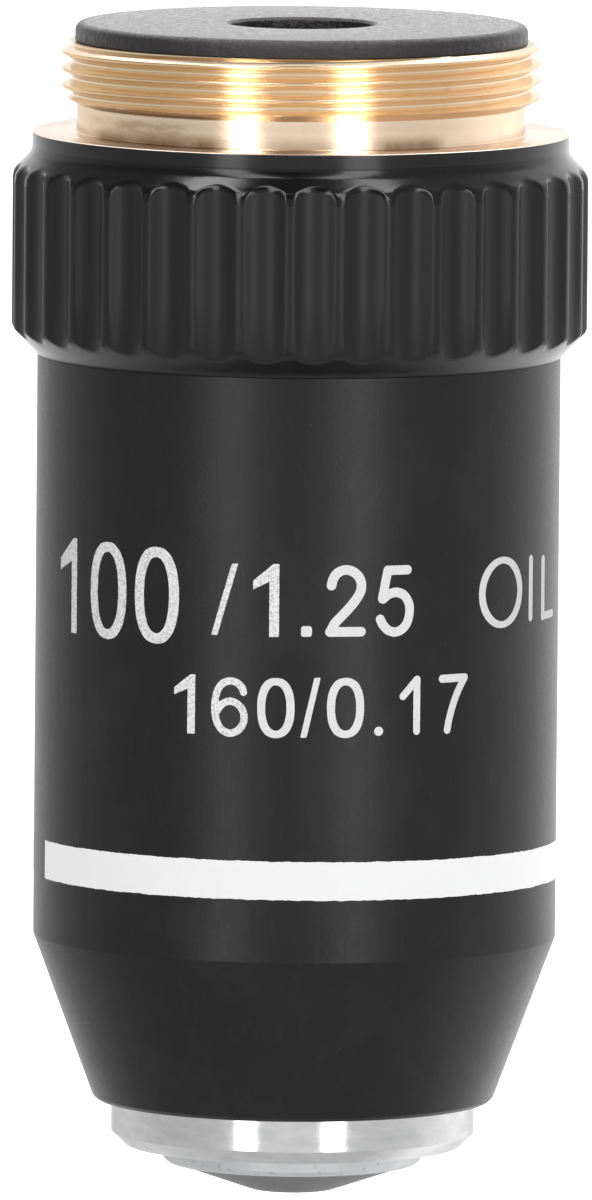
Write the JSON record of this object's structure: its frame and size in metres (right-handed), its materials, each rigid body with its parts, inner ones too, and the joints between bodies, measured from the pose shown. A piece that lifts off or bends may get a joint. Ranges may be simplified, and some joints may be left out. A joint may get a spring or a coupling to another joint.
{
  "type": "microscope objective",
  "caption": "High-power oil-immersion microscope objective with a screw mount, fluted grip, black sleeve and spring-loaded front that slides in.",
  "frame": {"origin": "centre of the mounting shoulder, on the optical axis", "axes": "+Z along the optical axis towards the mounting thread; the front lens points along -Z; -Y is the side with the markings"},
  "size_m": [0.0244, 0.0244, 0.0495],
  "materials": {
    "brass_turned": "satin",
    "black_body_finish": "satin",
    "black_anodised": "satin",
    "bright_steel": "satin",
    "cell_steel": "satin",
    "spring_steel": "satin",
    "inner_brass": "satin",
    "inner_black": "matte",
    "crown_glass": "polished",
    "flint_glass": "polished",
    "white_marking": "matte"
  },
  "bodies": {
    "housing": {"mount_body": "brass_turned", "rear_cap": "black_anodised", "outer_sleeve": "black_anodised", "guide_screw": "spring_steel", "load_spring": "spring_steel"},
    "lens_unit": {"lens_tube": "inner_brass", "parfocal_ring": "inner_brass", "lock_ring": "inner_brass", "nose_collar": "bright_steel", "front_cell": "cell_steel", "front_lens": "crown_glass", "meniscus_lens": "crown_glass", "meniscus_cell": "inner_brass", "doublet_a_crown": "crown_glass", "doublet_a_flint": "flint_glass", "doublet_cell_a": "inner_brass", "spacer_ring": "inner_black", "doublet_b_crown": "crown_glass", "doublet_b_flint": "flint_glass", "doublet_cell_b": "inner_brass", "centring_screws": "spring_steel", "spacer_tube": "inner_black", "aperture_stop": "inner_black", "retaining_ring": "inner_black"}
  },
  "joints": [
    {"name": "nose_retract", "type": "slide", "parent": "housing", "child": "lens_unit", "axis": [0, 0, 1], "range_m": [0, 0.002], "stiffness_N_per_m": 400, "springref_m": -0.006, "deforming": ["load_spring"]}
  ]
}
